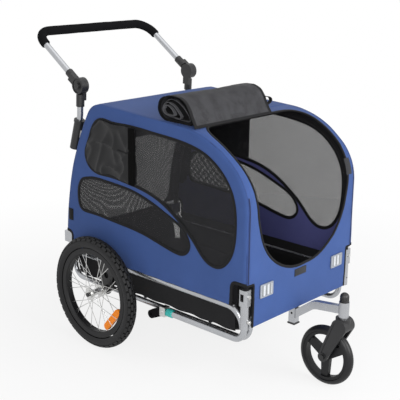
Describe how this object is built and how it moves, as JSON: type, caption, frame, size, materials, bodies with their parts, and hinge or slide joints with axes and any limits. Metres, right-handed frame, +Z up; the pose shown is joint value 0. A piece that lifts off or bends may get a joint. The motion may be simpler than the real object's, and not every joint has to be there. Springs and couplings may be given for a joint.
{
  "type": "dog bike trailer",
  "caption": "Two-wheeled dog bike trailer and stroller with a cloth cabin on a tube frame, a swivelling front caster, a tilting push handle and a swing-out tow bar.",
  "frame": {"origin": "on the ground, under the middle of the trailer's bounding box", "axes": "+X forward to the caster, +Y to the trailer's left, +Z up"},
  "size_m": [1.2513, 0.7472, 1.0975],
  "materials": {
    "blue_cloth": "woven",
    "black_cloth": "woven",
    "black_mesh": "open mesh",
    "silver_tube": "satin",
    "zinc_steel": "satin",
    "black_paint": "semi-gloss",
    "black_plastic": "moulded",
    "tyre_rubber": "matt",
    "foam": "matt",
    "board": "matt",
    "amber": "faceted",
    "white_reflector": "faceted",
    "teal": "moulded"
  },
  "bodies": {
    "frame": {"right_upper_rail": "silver_tube", "right_lower_rail": "silver_tube", "right_front_post": "silver_tube", "right_hoop": "silver_tube", "right_side_cover": "blue_cloth", "right_mesh_windows": "black_mesh", "left_upper_rail": "silver_tube", "left_lower_rail": "silver_tube", "left_front_post": "silver_tube", "left_hoop": "silver_tube", "left_side_cover": "blue_cloth", "left_mesh_windows": "black_mesh", "rear_brackets": "silver_tube", "axle_brackets": "silver_tube", "wheel_axles": "zinc_steel", "hoop_bolts": "zinc_steel", "skirts": "black_cloth", "lower_hinges": "black_plastic", "handle_lower_tubes": "silver_tube", "handle_sleeves": "black_plastic", "handle_stays": "zinc_steel", "cross_tubes": "silver_tube", "roof_bars": "silver_tube", "floor_board": "board", "side_pockets": "black_cloth", "front_cover": "blue_cloth", "roof_cover": "blue_cloth", "back_cover": "blue_cloth", "door_roll": "black_cloth", "front_reflectors": "white_reflector", "caster_leg": "silver_tube", "leg_foot_cap": "black_plastic", "caster_arm": "silver_tube"},
    "right_wheel": {"right_wheel_tyre": "tyre_rubber", "right_wheel_rim": "black_paint", "right_wheel_spokes": "zinc_steel", "right_wheel_hub": "zinc_steel", "right_spoke_reflector": "amber"},
    "right_axle_release": {"right_axle_button": "black_plastic"},
    "left_wheel": {"left_wheel_tyre": "tyre_rubber", "left_wheel_rim": "black_paint", "left_wheel_spokes": "zinc_steel", "left_wheel_hub": "zinc_steel", "left_spoke_reflector": "amber"},
    "left_axle_release": {"left_axle_button": "black_plastic"},
    "caster_swivel_body": {"caster_fork": "black_plastic", "caster_axle_bolt": "zinc_steel"},
    "caster_wheel": {"caster_wheel_core": "black_plastic", "caster_wheel_tyre": "tyre_rubber"},
    "caster_lock": {"lock_knob": "black_plastic"},
    "push_handle": {"handle_bar": "silver_tube", "handle_grip": "foam", "upper_hinges": "black_plastic"},
    "right_hinge_release": {"right_hinge_button": "black_plastic"},
    "left_hinge_release": {"left_hinge_button": "black_plastic"},
    "tow_arm": {"tow_bar": "silver_tube", "tow_collar": "teal", "tow_clevis": "zinc_steel", "tow_coupler": "foam"},
    "tow_lock": {"tow_lock_pin": "zinc_steel"}
  },
  "joints": [
    {"name": "right_wheel_spin", "type": "hinge", "parent": "frame", "child": "right_wheel", "pos_m": [-0.23792, -0.336, 0.203], "axis": [0, 1, 0], "continuous": true},
    {"name": "right_axle_button_push", "type": "slide", "parent": "frame", "child": "right_axle_release", "axis": [0, 1, 0], "range_m": [0, 0.003], "stiffness_N_per_m": 600},
    {"name": "left_wheel_spin", "type": "hinge", "parent": "frame", "child": "left_wheel", "pos_m": [-0.23792, 0.336, 0.203], "axis": [0, 1, 0], "continuous": true},
    {"name": "left_axle_button_push", "type": "slide", "parent": "frame", "child": "left_axle_release", "axis": [0, -1, 0], "range_m": [0, 0.003], "stiffness_N_per_m": 600},
    {"name": "caster_swivel", "type": "hinge", "parent": "frame", "child": "caster_swivel_body", "pos_m": [0.58008, 0, 0.25], "axis": [0, 0, 1], "continuous": true},
    {"name": "caster_wheel_spin", "type": "hinge", "parent": "caster_swivel_body", "child": "caster_wheel", "pos_m": [0.52408, 0, 0.1016], "axis": [0, 1, 0], "continuous": true},
    {"name": "caster_lock_pull", "type": "slide", "parent": "frame", "child": "caster_lock", "axis": [0, 0, 1], "range_m": [0, 0.008], "stiffness_N_per_m": 600},
    {"name": "handle_tilt", "type": "hinge", "parent": "frame", "child": "push_handle", "pos_m": [-0.36692, 0, 0.91497], "axis": [0, 1, 0], "range_deg": [-50, 130]},
    {"name": "right_hinge_button_push", "type": "slide", "parent": "push_handle", "child": "right_hinge_release", "axis": [0, 1, 0], "range_m": [0, 0.004], "stiffness_N_per_m": 600},
    {"name": "left_hinge_button_push", "type": "slide", "parent": "push_handle", "child": "left_hinge_release", "axis": [0, -1, 0], "range_m": [0, 0.004], "stiffness_N_per_m": 600},
    {"name": "tow_bar_swing", "type": "hinge", "parent": "frame", "child": "tow_arm", "pos_m": [0.39508, -0.272, 0.196], "axis": [0, 0, 1], "range_deg": [0, 180]},
    {"name": "tow_lock_pin_pull", "type": "slide", "parent": "frame", "child": "tow_lock", "axis": [1, 0, 0], "range_m": [0, 0.005], "stiffness_N_per_m": 600}
  ]
}
